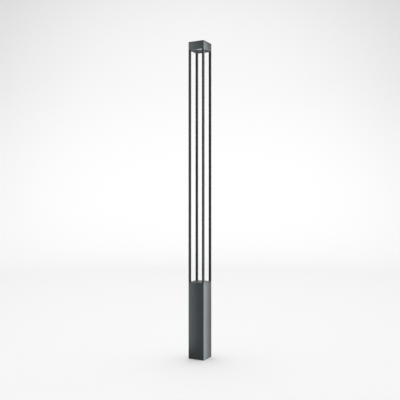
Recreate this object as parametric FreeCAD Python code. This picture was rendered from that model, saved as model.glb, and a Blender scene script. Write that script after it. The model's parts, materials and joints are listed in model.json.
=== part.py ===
import FreeCAD, Part
import math
import os

# A slim square bollard light: a square base column, an open lantern of four corner posts,
# and a cap that holds the LED module and shines down onto the flat deck on the column.
# Millimetres. Origin on the ground at the centre of the foot, +Z up, front face towards -Y.

V = FreeCAD.Vector

# Overall sizes
SECTION = 65.0           # side of the square section, the same for column, lantern and cap
HEIGHT = 1200.0          # ground to top of lid
BASE_HEIGHT = 290.0      # ground to top of deck
CAP_HEIGHT = 31.0        # lower rim of cap to top of lid
EDGE_R = 1.0             # rounding of the long outer edges

# Clearances
SLIP = 0.3               # each side, where one casting plugs into another
SCREW_CLEAR = 0.25       # radial, where a screw passes through
THREAD_CLEAR = 0.05      # radial, screw in its tapped hole
SOCKET_CLEAR = 0.05      # radial, wire in its crimp

# Screw heads
CSK_RIM = 0.2            # height of the straight rim of a countersunk head
CSK_SOCKET_SHARE = 0.55  # socket width, as a share of the thread
CSK_SOCKET_DEPTH = 0.8   # as a share of the head's height
PAN_SOCKET_SHARE = 0.6
PAN_SOCKET_DEPTH = 0.7
PAN_CHAMFER = 0.35

# Foot
FOOT_GASKET_T = 2.0
GROUND_PLATE_T = 8.0
UPSTAND_WALL = 5.0
UPSTAND_TOP = 55.0       # above ground
UPSTAND_CORNER_R = 3.0
ANCHOR_HOLE_D = 7.0
ANCHOR_SPACING = 36.0
GROMMET_HOLE_D = 18.0
GROMMET_FLANGE_D = 22.0
GROMMET_FLANGE_T = 1.2
GROMMET_BORE_D = 10.0
GROMMET_ROOM = 0.5       # radial, gasket hole around the grommet flange

# Column
COLUMN_WALL = 2.5
COLUMN_INNER_R = 0.8
COLUMN_SCREW_D = 5.0
COLUMN_SCREW_HEAD_D = 9.6
COLUMN_SCREW_X = 15.0
COLUMN_SCREW_Z = 32.0
COLUMN_SCREW_L = 9.0

# Deck
DECK_T = 5.0
DECK_GASKET_T = 0.8
GASKET_INSET = 0.5       # how far a gasket stands back from the outer faces
DECK_LUG_W = 36.0
DECK_LUG_T = 4.0
DECK_LUG_H = 20.0
DECK_SCREW_D = 4.0
DECK_SCREW_HEAD_D = 7.6
DECK_SCREW_X = 10.0
DECK_SCREW_DROP = 12.0   # below the underside of the deck
DECK_SCREW_L = 7.5

# Lantern posts and tie rods
POST = 8.0
POST_WALL = 1.0
POST_EDGE_R = 0.8
STUB_H = 4.0             # square stub that plugs into each end of a post
STUB_CLEAR = 0.2
ROD_D = 4.0
ROD_HEAD_D = 6.4
ROD_HEAD_RIM = 0.4
ROD_IN_CAP = 11.0        # length of rod thread inside the cap boss
ROD_HOLE_SPARE = 1.0

# Cap
CAP_WALL = 3.0
WEB_T = 3.0
CHAMBER_H = 8.0          # between the web and the top of the cap body
LID_T = 4.0
CAP_GASKET_T = 0.8
LID_RIM_T = 2.0
LID_RIM_H = 2.5
LID_EDGE_R = 0.8
LID_PILLAR_D = 5.0
LID_SCREW_D = 3.0
LID_SCREW_HEAD_D = 5.0
LID_SCREW_HEAD_H = 1.8
LID_SCREW_GRIP = 5.0     # thread length in the pillar

# LED module
PAD_T = 0.5
BOARD = 30.0
BOARD_T = 1.6
BOARD_SCREW_D = 2.0
BOARD_SCREW_HEAD_D = 3.8
BOARD_SCREW_HEAD_H = 1.2
BOARD_SCREW_INSET = 2.2
CHIP = 3.0
CHIP_T = 0.8
CHIP_PITCH = 8.0
CHIP_ROWS = 3
BEZEL_ROOM = 1.0         # between the bezel and the corner bosses
BEZEL_H = 6.0
BEZEL_LIP_T = 1.5
BEZEL_LIP_W = 2.0
BEZEL_GASKET_T = 1.0
BEZEL_GASKET_W = 3.5
BEZEL_SCREW_D = 3.0
BEZEL_SCREW_HEAD_D = 5.4
BEZEL_SCREW_INSET = 3.3
LENS_BORDER = 5.2        # bezel wall around the lens
LENS_T = 2.0
LENS_DOME = 0.5          # edge rounding of the lens

# LED cable, its connector and leads
CABLE_D = 2.6
CABLE_CLEAR = 0.3
CABLE_TOP_RUN = 20.0     # from the upright cable to the connector
CABLE_ROOM = 0.2         # between the cable and the inside of the column
CABLE_LAST_RUN = 18.0    # upright stretch above the driver
CABLE_STRAIGHT = 1.8     # upright stretch below the top of the column
CONNECTOR_L = 12.0
CONNECTOR_W = 8.0
CONNECTOR_H = 6.8
CONNECTOR_EDGE_R = 1.0
LEAD_D = 1.0
LEAD_RUN = 7.0
LEAD_SPACING = 2.0
LEAD_HOLE_D = 5.0
BEND_SHARE = 0.45        # share of the shorter run that a bend takes

# Gear tray, driver and terminals
TRAY_W = 44.0
TRAY_T = 1.5
TRAY_Y = -14.0           # rear face of the tray, where the gear is mounted
TRAY_BOTTOM = 62.0
TRAY_FLANGE = 15.0
TRAY_BEND_R = 1.0
TRAY_SCREW_D = 4.0
TRAY_SCREW_HEAD_D = 7.0
TRAY_SCREW_HEAD_H = 2.4
TRAY_SCREW_X = 14.0
TRAY_SCREW_GRIP = 3.5
DRIVER_W = 36.0
DRIVER_DEPTH = 22.0
DRIVER_L = 80.0
DRIVER_TOP = 210.0
DRIVER_EDGE_R = 2.0
DRIVER_ENTRY_AT = 5.0    # the LED cable enters this far to the left and to the rear
EAR_L = 8.0
EAR_T = 3.0
GEAR_SCREW_D = 3.0
GEAR_SCREW_HEAD_D = 5.5
GEAR_SCREW_HEAD_H = 2.0
GEAR_SCREW_SPARE = 1.5   # thread showing behind the tray
EAR_SCREW_X = 13.0
BLOCK_W = 26.0
BLOCK_DEPTH = 17.0
BLOCK_H = 20.0
BLOCK_BOTTOM = 70.0
POLE_PITCH = 7.0
POLE_HOLE_D = 2.8
POLE_HOLE_DEPTH = 6.0
CLAMP_SCREW_D = 3.0
CLAMP_SCREW_L = 4.0
CLAMP_SCREW_DROP = 4.0   # below the top, and above the bottom, of the block
BLOCK_EAR_X = 3.5
WIRE_D = 1.8
LUG_RING_D = 8.0
LUG_T = 0.8
LUG_BARREL_D = 3.6
LUG_BARREL_L = 9.0
LUG_X = -17.5
LUG_Z = 97.0
LUG_WIRE_IN = 6.0
EARTH_SCREW_D = 4.0
EARTH_SCREW_HEAD_D = 7.0
EARTH_SCREW_HEAD_H = 2.4
EARTH_LOOP_Z = 119.0
DRIVER_WIRE_Y = -3.0
DRIVER_WIRE_PITCH = 8.0
SLACK_BOW = 3.6          # how far a supply wire bows out
SLACK_START = 0.2        # share of the gap that stays straight at each end

# Worked out from the sizes above
HALF = SECTION / 2
COLUMN_INNER = HALF - COLUMN_WALL
PLUG = COLUMN_INNER - SLIP
GROUND_PLATE_TOP = FOOT_GASKET_T + GROUND_PLATE_T
DECK_TOP = BASE_HEIGHT
DECK_BOTTOM = DECK_TOP - DECK_T
COLUMN_TOP = DECK_BOTTOM - DECK_GASKET_T
POST_AT = HALF - POST / 2
POST_CAVITY = POST - 2 * POST_WALL
STUB = POST_CAVITY - 2 * STUB_CLEAR
CAP_RIM = HEIGHT - CAP_HEIGHT
CAP_INNER = HALF - CAP_WALL
LID_BOTTOM = HEIGHT - LID_T
CAP_BODY_TOP = LID_BOTTOM - CAP_GASKET_T
WEB_TOP = CAP_BODY_TOP - CHAMBER_H
WEB_BOTTOM = WEB_TOP - WEB_T
PILLAR_AT = CAP_INNER - SLIP - LID_PILLAR_D / 2
BEZEL = 2 * (HALF - POST - BEZEL_ROOM)
LENS = BEZEL - 2 * (LENS_BORDER + SLIP)
PAD_BOTTOM = WEB_BOTTOM - PAD_T
BOARD_BOTTOM = PAD_BOTTOM - BOARD_T
BEZEL_TOP = WEB_BOTTOM - BEZEL_GASKET_T
BEZEL_BOTTOM = BEZEL_TOP - BEZEL_H
BEZEL_SCREW_AT = BEZEL / 2 - BEZEL_SCREW_INSET
BOARD_SCREW_AT = BOARD / 2 - BOARD_SCREW_INSET
WIRE_Z = WEB_TOP + CONNECTOR_H / 2
CABLE_AT = COLUMN_INNER - CABLE_ROOM - CABLE_D / 2
CABLE_SLANT = (CABLE_AT - DRIVER_ENTRY_AT) * math.sqrt(2)
LUG_WIRE_Y = TRAY_Y + LUG_BARREL_D / 2
LUG_BARREL_LOW = LUG_Z + EARTH_SCREW_HEAD_D / 2 + SLIP
BLOCK_MID_Y = TRAY_Y + BLOCK_DEPTH / 2
BLOCK_TOP = BLOCK_BOTTOM + BLOCK_H
DRIVER_BOTTOM = DRIVER_TOP - DRIVER_L
CORNERS = [(-1, -1), (1, -1), (1, 1), (-1, 1)]
CABLE_CORNER = (-1, 1)   # the rear left post carries the LED cable
ROD_CORNERS = [corner for corner in CORNERS if corner != CABLE_CORNER]


# Helpers

def slab(half_x, half_y, z0, z1, centre=(0.0, 0.0)):
    """A box centred on a point in plan, between two heights."""
    corner = V(centre[0] - half_x, centre[1] - half_y, z0)
    return Part.makeBox(2 * half_x, 2 * half_y, z1 - z0, corner)


def upright_edges(shape):
    """The straight edges that run parallel to Z."""
    found = []
    for edge in shape.Edges:
        if len(edge.Vertexes) != 2:
            continue
        run = edge.Vertexes[1].Point - edge.Vertexes[0].Point
        if abs(run.x) < 1e-6 and abs(run.y) < 1e-6:
            found.append(edge)
    return found


def round_slab(half, z0, z1, radius, centre=(0.0, 0.0)):
    """A square prism with rounded upright edges."""
    block = slab(half, half, z0, z1, centre)
    return block.makeFillet(radius, upright_edges(block))


def rod(diameter, z0, z1, centre=(0.0, 0.0)):
    """An upright cylinder between two heights."""
    return Part.makeCylinder(diameter / 2, z1 - z0, V(centre[0], centre[1], z0))


def point_along(shape, at, axis):
    """Turn a shape built along +Z to point along an axis, and move it to a point."""
    turned = shape.copy()
    turned.Placement = FreeCAD.Placement(V(*at), FreeCAD.Rotation(V(0, 0, 1), V(*axis)))
    return turned


def spin_profile(points):
    """Revolve a closed outline of (radius, height) points about Z."""
    outline = [V(r, 0, z) for r, z in points]
    face = Part.Face(Part.makePolygon(outline + [outline[0]]))
    return face.revolve(V(0, 0, 0), V(0, 0, 1), 360)


def hex_socket(across, depth):
    """A hexagonal socket that opens at z = 0 and goes down."""
    reach = across / math.sqrt(3)
    corners = []
    for i in range(7):
        angle = math.radians(60 * i)
        corners.append(V(reach * math.cos(angle), reach * math.sin(angle), 0))
    return Part.Face(Part.makePolygon(corners)).extrude(V(0, 0, -depth))


def csk_depth(diameter, head_d, rim=0.0):
    return (head_d - diameter) / 2 + rim


def csk_screw(diameter, head_d, length, rim=CSK_RIM):
    """Countersunk screw with its flat head at z = 0 and its shank going down."""
    head_h = csk_depth(diameter, head_d, rim)
    points = [(0, 0), (head_d / 2, 0), (head_d / 2, -rim), (diameter / 2, -head_h)]
    points += [(diameter / 2, -length), (0, -length)]
    return spin_profile(points).cut(hex_socket(diameter * CSK_SOCKET_SHARE, head_h * CSK_SOCKET_DEPTH))


def csk_hole(diameter, head_d, depth, rim=CSK_RIM, spare=SCREW_CLEAR):
    """The room that a countersunk screw needs, opening at z = 0 and going down."""
    wide = diameter / 2 + spare
    points = [(0, 0), (head_d / 2, 0), (head_d / 2, -rim), (wide, -rim - (head_d / 2 - wide))]
    points += [(wide, -depth), (0, -depth)]
    return spin_profile(points)


def pan_screw(diameter, head_d, head_h, length):
    """Pan head screw: the head stands above z = 0 and the shank goes down."""
    chamfer = head_h * PAN_CHAMFER
    points = [(0, head_h), (head_d / 2 - chamfer, head_h), (head_d / 2, head_h - chamfer)]
    points += [(head_d / 2, 0), (diameter / 2, 0), (diameter / 2, -length), (0, -length)]
    screw = spin_profile(points)
    socket = hex_socket(diameter * PAN_SOCKET_SHARE, head_h * PAN_SOCKET_DEPTH)
    socket.translate(V(0, 0, head_h))
    return screw.cut(socket)


def route(points, share=BEND_SHARE):
    """A wire of straight runs joined by tangent arcs, and the list of its bend radii."""
    points = [V(*p) for p in points]
    edges = []
    radii = []
    start = points[0]
    for before, corner, after in zip(points, points[1:], points[2:]):
        back = before - corner
        ahead = after - corner
        turn = math.pi - back.getAngle(ahead)
        reach = share * min(back.Length, ahead.Length)
        radius = reach / math.tan(turn / 2)
        radii.append(radius)
        back.normalize()
        ahead.normalize()
        enter = corner + back * reach
        leave = corner + ahead * reach
        middle = (back + ahead).normalize()
        inside = corner + middle * (radius / math.cos(turn / 2) - radius)
        edges.append(Part.LineSegment(start, enter).toShape())
        edges.append(Part.Arc(enter, inside, leave).toShape())
        start = leave
    edges.append(Part.LineSegment(start, points[-1]).toShape())
    return Part.Wire(edges), radii


def round_wire(name, points, diameter):
    """A round cable or wire along a route. Prints its bend radii and its volume check."""
    path, radii = route(points)
    heading = V(*points[1]) - V(*points[0])
    circle = Part.Wire(Part.makeCircle(diameter / 2, V(*points[0]), heading))
    solid = path.makePipeShell([circle], True, False)
    ideal = math.pi * diameter ** 2 / 4 * path.Length
    print(name, "length", round(path.Length, 1), "radii", [round(r, 1) for r in radii],
          "volume ratio", round(solid.Volume / ideal, 5))
    return solid


def at_corner(corner, distance):
    return (corner[0] * distance, corner[1] * distance)


def on_diagonal(reach, z, aside=0.0):
    """A point on the line from the upright cable to the axis, a given reach from the cable."""
    step = 1 / math.sqrt(2)
    x = CABLE_CORNER[0] * (CABLE_AT - reach * step) + aside * step
    y = CABLE_CORNER[1] * (CABLE_AT - reach * step) + aside * step
    return (x, y, z)


def anchor_points():
    return [at_corner(corner, ANCHOR_SPACING / 2) for corner in CORNERS]


def rear_places(x, z):
    """Two places side by side on the rear face."""
    return [(side * x, HALF, z) for side in (-1, 1)]


# Foot

def foot_gasket():
    sheet = round_slab(HALF, 0, FOOT_GASKET_T, EDGE_R)
    sheet = sheet.cut(rod(GROMMET_FLANGE_D + 2 * GROMMET_ROOM, 0, FOOT_GASKET_T))
    for place in anchor_points():
        sheet = sheet.cut(rod(ANCHOR_HOLE_D, 0, FOOT_GASKET_T, place))
    return sheet


def ground_plate():
    plate = round_slab(PLUG, FOOT_GASKET_T, GROUND_PLATE_TOP, UPSTAND_CORNER_R)
    plate = plate.cut(rod(GROMMET_HOLE_D, FOOT_GASKET_T, GROUND_PLATE_TOP))
    for place in anchor_points():
        plate = plate.cut(rod(ANCHOR_HOLE_D, FOOT_GASKET_T, GROUND_PLATE_TOP, place))
    return plate


def plate_upstand():
    """Square collar welded on the ground plate. The column slips over it."""
    collar = round_slab(PLUG, GROUND_PLATE_TOP, UPSTAND_TOP, UPSTAND_CORNER_R)
    inner = PLUG - UPSTAND_WALL
    collar = collar.cut(slab(inner, inner, GROUND_PLATE_TOP, UPSTAND_TOP))
    for place in rear_places(COLUMN_SCREW_X, COLUMN_SCREW_Z):
        hole = Part.makeCylinder(COLUMN_SCREW_D / 2 + THREAD_CLEAR, COLUMN_WALL + SLIP + UPSTAND_WALL)
        collar = collar.cut(point_along(hole, place, (0, -1, 0)))
    return collar


def cable_grommet():
    low = FOOT_GASKET_T - GROMMET_FLANGE_T
    top = GROUND_PLATE_TOP + GROMMET_FLANGE_T
    body = rod(GROMMET_HOLE_D, FOOT_GASKET_T, GROUND_PLATE_TOP)
    body = body.fuse(rod(GROMMET_FLANGE_D, low, FOOT_GASKET_T))
    body = body.fuse(rod(GROMMET_FLANGE_D, GROUND_PLATE_TOP, top))
    return body.cut(rod(GROMMET_BORE_D, low, top)).removeSplitter()


# Column and deck

def base_column():
    tube = round_slab(HALF, FOOT_GASKET_T, COLUMN_TOP, EDGE_R)
    tube = tube.cut(round_slab(COLUMN_INNER, FOOT_GASKET_T, COLUMN_TOP, COLUMN_INNER_R))
    for place in rear_places(COLUMN_SCREW_X, COLUMN_SCREW_Z):
        hole = csk_hole(COLUMN_SCREW_D, COLUMN_SCREW_HEAD_D, COLUMN_WALL + SLIP)
        tube = tube.cut(point_along(hole, place, (0, 1, 0)))
    for place in rear_places(DECK_SCREW_X, DECK_BOTTOM - DECK_SCREW_DROP):
        hole = csk_hole(DECK_SCREW_D, DECK_SCREW_HEAD_D, COLUMN_WALL + SLIP)
        tube = tube.cut(point_along(hole, place, (0, 1, 0)))
    return tube


def column_screws():
    screw = csk_screw(COLUMN_SCREW_D, COLUMN_SCREW_HEAD_D, COLUMN_SCREW_L)
    places = rear_places(COLUMN_SCREW_X, COLUMN_SCREW_Z)
    return Part.makeCompound([point_along(screw, place, (0, 1, 0)) for place in places])


def deck_screws():
    screw = csk_screw(DECK_SCREW_D, DECK_SCREW_HEAD_D, DECK_SCREW_L)
    places = rear_places(DECK_SCREW_X, DECK_BOTTOM - DECK_SCREW_DROP)
    return Part.makeCompound([point_along(screw, place, (0, 1, 0)) for place in places])


def deck_gasket():
    ring = round_slab(HALF - GASKET_INSET, COLUMN_TOP, DECK_BOTTOM, EDGE_R)
    return ring.cut(slab(COLUMN_INNER, COLUMN_INNER, COLUMN_TOP, DECK_BOTTOM))


def deck_lugs():
    """Four lugs under the deck that plug into the column, one along each side."""
    lugs = []
    reach = PLUG - DECK_LUG_T / 2
    low = DECK_BOTTOM - DECK_LUG_H
    for side in (-1, 1):
        lugs.append(slab(DECK_LUG_W / 2, DECK_LUG_T / 2, low, DECK_BOTTOM, (0, side * reach)))
        lugs.append(slab(DECK_LUG_T / 2, DECK_LUG_W / 2, low, DECK_BOTTOM, (side * reach, 0)))
    return lugs


def post_stubs(z0, z1):
    return [slab(STUB / 2, STUB / 2, z0, z1, at_corner(corner, POST_AT)) for corner in CORNERS]


def tray_screw_places():
    y = TRAY_Y + TRAY_FLANGE / 2
    return [(side * TRAY_SCREW_X, y, DECK_BOTTOM - TRAY_T) for side in (-1, 1)]


def deck():
    plate = round_slab(HALF, DECK_BOTTOM, DECK_TOP, EDGE_R)
    plate = plate.multiFuse(deck_lugs() + post_stubs(DECK_TOP, DECK_TOP + STUB_H))
    for corner in ROD_CORNERS:
        hole = csk_hole(ROD_D, ROD_HEAD_D, DECK_T + STUB_H, ROD_HEAD_RIM, STUB_CLEAR)
        x, y = at_corner(corner, POST_AT)
        plate = plate.cut(point_along(hole, (x, y, DECK_BOTTOM), (0, 0, -1)))
    cable_place = at_corner(CABLE_CORNER, CABLE_AT)
    plate = plate.cut(rod(CABLE_D + 2 * CABLE_CLEAR, DECK_BOTTOM, DECK_TOP + STUB_H, cable_place))
    for place in rear_places(DECK_SCREW_X, DECK_BOTTOM - DECK_SCREW_DROP):
        hole = Part.makeCylinder(DECK_SCREW_D / 2 + THREAD_CLEAR, COLUMN_WALL + SLIP + DECK_LUG_T)
        plate = plate.cut(point_along(hole, place, (0, -1, 0)))
    tapped = DECK_BOTTOM + TRAY_SCREW_GRIP + THREAD_CLEAR
    for x, y, z in tray_screw_places():
        plate = plate.cut(rod(TRAY_SCREW_D + 2 * THREAD_CLEAR, z, tapped, (x, y)))
    return plate.removeSplitter()


# Lantern

def lantern_post(corner):
    place = at_corner(corner, POST_AT)
    tube = round_slab(POST / 2, DECK_TOP, CAP_RIM, POST_EDGE_R, place)
    return tube.cut(slab(POST_CAVITY / 2, POST_CAVITY / 2, DECK_TOP, CAP_RIM, place))


def tie_rods():
    length = CAP_RIM + ROD_IN_CAP - DECK_BOTTOM
    rods = []
    for corner in ROD_CORNERS:
        x, y = at_corner(corner, POST_AT)
        one = csk_screw(ROD_D, ROD_HEAD_D, length, ROD_HEAD_RIM)
        rods.append(point_along(one, (x, y, DECK_BOTTOM), (0, 0, -1)))
    return Part.makeCompound(rods)


# Cap

def cable_slot():
    """Slot through the cap boss and web where the LED cable turns inwards."""
    width = CABLE_D + 2 * CABLE_CLEAR
    low = WIRE_Z - BEND_SHARE * CABLE_TOP_RUN - CABLE_CLEAR
    length = BEND_SHARE * CABLE_TOP_RUN
    slot = Part.makeBox(length, width, WEB_TOP - low, V(0, -width / 2, low))
    x, y = at_corner(CABLE_CORNER, CABLE_AT)
    slot.rotate(V(0, 0, 0), V(0, 0, 1), -45)
    slot.translate(V(x, y, 0))
    return slot


def lid_screw_points():
    return [(PILLAR_AT, 0), (0, PILLAR_AT), (-PILLAR_AT, 0), (0, -PILLAR_AT)]


def cap_body():
    outer = round_slab(HALF, CAP_RIM, CAP_BODY_TOP, EDGE_R)
    below = slab(CAP_INNER, CAP_INNER, CAP_RIM, WEB_BOTTOM)
    above = slab(CAP_INNER, CAP_INNER, WEB_TOP, CAP_BODY_TOP)
    body = outer.cut(below).cut(above)
    bosses = []
    for corner in CORNERS:
        bosses.append(round_slab(POST / 2, CAP_RIM, WEB_BOTTOM, POST_EDGE_R, at_corner(corner, POST_AT)))
    body = body.multiFuse(bosses + post_stubs(CAP_RIM - STUB_H, CAP_RIM))
    body = body.common(round_slab(HALF, CAP_RIM - STUB_H, CAP_BODY_TOP, EDGE_R))
    for corner in ROD_CORNERS:
        hole = rod(ROD_D + 2 * THREAD_CLEAR, CAP_RIM - STUB_H, CAP_RIM + ROD_IN_CAP + ROD_HOLE_SPARE,
                   at_corner(corner, POST_AT))
        body = body.cut(hole)
    cable_place = at_corner(CABLE_CORNER, CABLE_AT)
    body = body.cut(rod(CABLE_D + 2 * CABLE_CLEAR, CAP_RIM - STUB_H, WEB_TOP, cable_place))
    body = body.cut(cable_slot())
    x, y, z = on_diagonal(CABLE_TOP_RUN + CONNECTOR_L + LEAD_RUN, 0)
    body = body.cut(rod(LEAD_HOLE_D, WEB_BOTTOM, WEB_TOP, (x, y)))
    for place in lid_screw_points():
        body = body.cut(rod(LID_SCREW_D + 2 * SCREW_CLEAR, WEB_BOTTOM, WEB_TOP, place))
    for diameter, reach in ((BEZEL_SCREW_D, BEZEL_SCREW_AT), (BOARD_SCREW_D, BOARD_SCREW_AT)):
        for corner in CORNERS:
            tapped = rod(diameter + 2 * THREAD_CLEAR, WEB_BOTTOM, WEB_TOP, at_corner(corner, reach))
            body = body.cut(tapped)
    return body.removeSplitter()


def cap_gasket():
    ring = round_slab(HALF - GASKET_INSET, CAP_BODY_TOP, LID_BOTTOM, EDGE_R)
    return ring.cut(slab(CAP_INNER, CAP_INNER, CAP_BODY_TOP, LID_BOTTOM))


def cap_lid():
    plate = round_slab(HALF, LID_BOTTOM, HEIGHT, EDGE_R)
    top_edges = [e for e in plate.Edges if all(abs(v.Point.z - HEIGHT) < 1e-6 for v in e.Vertexes)]
    plate = plate.makeFillet(LID_EDGE_R, top_edges)
    plug = CAP_INNER - SLIP
    low = LID_BOTTOM - CAP_GASKET_T - LID_RIM_H
    rim = slab(plug, plug, low, LID_BOTTOM)
    rim = rim.cut(slab(plug - LID_RIM_T, plug - LID_RIM_T, low, LID_BOTTOM))
    pillars = [rod(LID_PILLAR_D, WEB_TOP, LID_BOTTOM, place) for place in lid_screw_points()]
    lid = plate.multiFuse([rim] + pillars)
    tapped = WEB_TOP + LID_SCREW_GRIP + THREAD_CLEAR
    for place in lid_screw_points():
        lid = lid.cut(rod(LID_SCREW_D + 2 * THREAD_CLEAR, WEB_TOP, tapped, place))
    return lid.removeSplitter()


def lid_screws():
    screw = pan_screw(LID_SCREW_D, LID_SCREW_HEAD_D, LID_SCREW_HEAD_H, WEB_T + LID_SCREW_GRIP)
    places = [(x, y, WEB_BOTTOM) for x, y in lid_screw_points()]
    return Part.makeCompound([point_along(screw, place, (0, 0, -1)) for place in places])


# LED module, hung under the web of the cap

def thermal_pad():
    pad = slab(BOARD / 2, BOARD / 2, PAD_BOTTOM, WEB_BOTTOM)
    x, y, z = on_diagonal(CABLE_TOP_RUN + CONNECTOR_L + LEAD_RUN, 0)
    pad = pad.cut(rod(LEAD_HOLE_D, PAD_BOTTOM, WEB_BOTTOM, (x, y)))
    for corner in CORNERS:
        place = at_corner(corner, BOARD_SCREW_AT)
        pad = pad.cut(rod(BOARD_SCREW_D + 2 * SCREW_CLEAR, PAD_BOTTOM, WEB_BOTTOM, place))
    return pad


def led_board():
    board = slab(BOARD / 2, BOARD / 2, BOARD_BOTTOM, PAD_BOTTOM)
    for corner in CORNERS:
        place = at_corner(corner, BOARD_SCREW_AT)
        board = board.cut(rod(BOARD_SCREW_D + 2 * SCREW_CLEAR, BOARD_BOTTOM, PAD_BOTTOM, place))
    return board


def led_chips():
    chips = []
    middle = (CHIP_ROWS - 1) / 2
    for row in range(CHIP_ROWS):
        for column in range(CHIP_ROWS):
            place = ((column - middle) * CHIP_PITCH, (row - middle) * CHIP_PITCH)
            chips.append(slab(CHIP / 2, CHIP / 2, BOARD_BOTTOM - CHIP_T, BOARD_BOTTOM, place))
    return Part.makeCompound(chips)


def board_screws():
    screw = pan_screw(BOARD_SCREW_D, BOARD_SCREW_HEAD_D, BOARD_SCREW_HEAD_H, BOARD_T + PAD_T + WEB_T)
    screws = []
    for corner in CORNERS:
        x, y = at_corner(corner, BOARD_SCREW_AT)
        screws.append(point_along(screw, (x, y, BOARD_BOTTOM), (0, 0, -1)))
    return Part.makeCompound(screws)


def lens():
    plate = slab(LENS / 2, LENS / 2, BEZEL_BOTTOM + BEZEL_LIP_T, BEZEL_BOTTOM + BEZEL_LIP_T + LENS_T)
    return plate.makeFillet(LENS_DOME, plate.Edges)


def lens_bezel():
    frame = round_slab(BEZEL / 2, BEZEL_BOTTOM, BEZEL_TOP, EDGE_R)
    pocket = LENS / 2 + SLIP
    window = LENS / 2 - BEZEL_LIP_W
    frame = frame.cut(slab(pocket, pocket, BEZEL_BOTTOM + BEZEL_LIP_T, BEZEL_TOP))
    frame = frame.cut(slab(window, window, BEZEL_BOTTOM, BEZEL_BOTTOM + BEZEL_LIP_T))
    for corner in CORNERS:
        x, y = at_corner(corner, BEZEL_SCREW_AT)
        hole = csk_hole(BEZEL_SCREW_D, BEZEL_SCREW_HEAD_D, BEZEL_H)
        frame = frame.cut(point_along(hole, (x, y, BEZEL_BOTTOM), (0, 0, -1)))
    return frame


def bezel_gasket():
    ring = round_slab(BEZEL / 2, BEZEL_TOP, WEB_BOTTOM, EDGE_R)
    inner = BEZEL / 2 - BEZEL_GASKET_W
    ring = ring.cut(slab(inner, inner, BEZEL_TOP, WEB_BOTTOM))
    screw_places = [at_corner(corner, BEZEL_SCREW_AT) for corner in CORNERS]
    for place in screw_places:
        ring = ring.fuse(rod(2 * BEZEL_SCREW_INSET, BEZEL_TOP, WEB_BOTTOM, place))
    for place in screw_places:
        ring = ring.cut(rod(BEZEL_SCREW_D + 2 * SCREW_CLEAR, BEZEL_TOP, WEB_BOTTOM, place))
    return ring.common(round_slab(BEZEL / 2, BEZEL_TOP, WEB_BOTTOM, EDGE_R)).removeSplitter()


def bezel_screws():
    length = BEZEL_H + BEZEL_GASKET_T + WEB_T
    screw = csk_screw(BEZEL_SCREW_D, BEZEL_SCREW_HEAD_D, length)
    screws = []
    for corner in CORNERS:
        x, y = at_corner(corner, BEZEL_SCREW_AT)
        screws.append(point_along(screw, (x, y, BEZEL_BOTTOM), (0, 0, -1)))
    return Part.makeCompound(screws)


# Wiring

def slant_rise(room):
    """Rise of the slanting stretch of cable, so that the bend above it just fits under the deck.

    The rise and the bend's share of the slanting run add up to the room, which is a quadratic.
    """
    a = 1 - BEND_SHARE ** 2
    c = room ** 2 - (BEND_SHARE * CABLE_SLANT) ** 2
    return (room - math.sqrt(room ** 2 - a * c)) / a


def led_cable():
    slant_low = DRIVER_TOP + CABLE_LAST_RUN
    slant_top = slant_low + slant_rise(COLUMN_TOP - CABLE_STRAIGHT - slant_low)
    points = [
        on_diagonal(CABLE_TOP_RUN, WIRE_Z),
        on_diagonal(0, WIRE_Z),
        on_diagonal(0, slant_top),
        on_diagonal(CABLE_SLANT, slant_low),
        on_diagonal(CABLE_SLANT, DRIVER_TOP),
    ]
    return round_wire("led_cable", points, CABLE_D)


def cable_connector():
    block = Part.makeBox(CONNECTOR_L, CONNECTOR_W, CONNECTOR_H, V(0, -CONNECTOR_W / 2, WEB_TOP))
    block = block.makeFillet(CONNECTOR_EDGE_R, upright_edges(block))
    block.rotate(V(0, 0, 0), V(0, 0, 1), -45)
    x, y, z = on_diagonal(CABLE_TOP_RUN, 0)
    block.translate(V(x, y, 0))
    return block


def led_lead(aside):
    start = CABLE_TOP_RUN + CONNECTOR_L
    points = [
        on_diagonal(start, WIRE_Z, aside),
        on_diagonal(start + LEAD_RUN, WIRE_Z, aside),
        on_diagonal(start + LEAD_RUN, PAD_BOTTOM, aside),
    ]
    return round_wire("led_lead", points, LEAD_D)


def supply_wire(name, pole, driver_x):
    """From a terminal pole up to the driver, with some slack bowed out sideways."""
    x = pole * POLE_PITCH
    start = BLOCK_TOP - POLE_HOLE_DEPTH
    gap = DRIVER_BOTTOM - BLOCK_TOP
    bow = (x + driver_x) / 2 + SLACK_BOW
    points = [
        (x, BLOCK_MID_Y, start),
        (x, BLOCK_MID_Y, BLOCK_TOP + gap * SLACK_START),
        (bow, DRIVER_WIRE_Y + SLACK_BOW, BLOCK_TOP + gap / 2),
        (driver_x, DRIVER_WIRE_Y, DRIVER_BOTTOM - gap * SLACK_START),
        (driver_x, DRIVER_WIRE_Y, DRIVER_BOTTOM),
    ]
    return round_wire(name, points, WIRE_D)


def wire_earth():
    x = -POLE_PITCH
    wire_end = LUG_BARREL_LOW + LUG_BARREL_L - LUG_WIRE_IN
    points = [
        (x, BLOCK_MID_Y, BLOCK_TOP - POLE_HOLE_DEPTH),
        (x, BLOCK_MID_Y, EARTH_LOOP_Z),
        (LUG_X, LUG_WIRE_Y, EARTH_LOOP_Z),
        (LUG_X, LUG_WIRE_Y, wire_end),
    ]
    return round_wire("wire_earth", points, WIRE_D)


# Gear tray and what it carries, hung under the deck inside the column

def ear_screw_places():
    places = []
    for z in (DRIVER_TOP + EAR_L / 2, DRIVER_BOTTOM - EAR_L / 2):
        for side in (-1, 1):
            places.append((side * EAR_SCREW_X, TRAY_Y + EAR_T, z))
    return places


def block_screw_places():
    z = BLOCK_BOTTOM + BLOCK_H / 2
    return [(side * BLOCK_EAR_X, TRAY_Y + BLOCK_DEPTH, z) for side in (-1, 1)]


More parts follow.
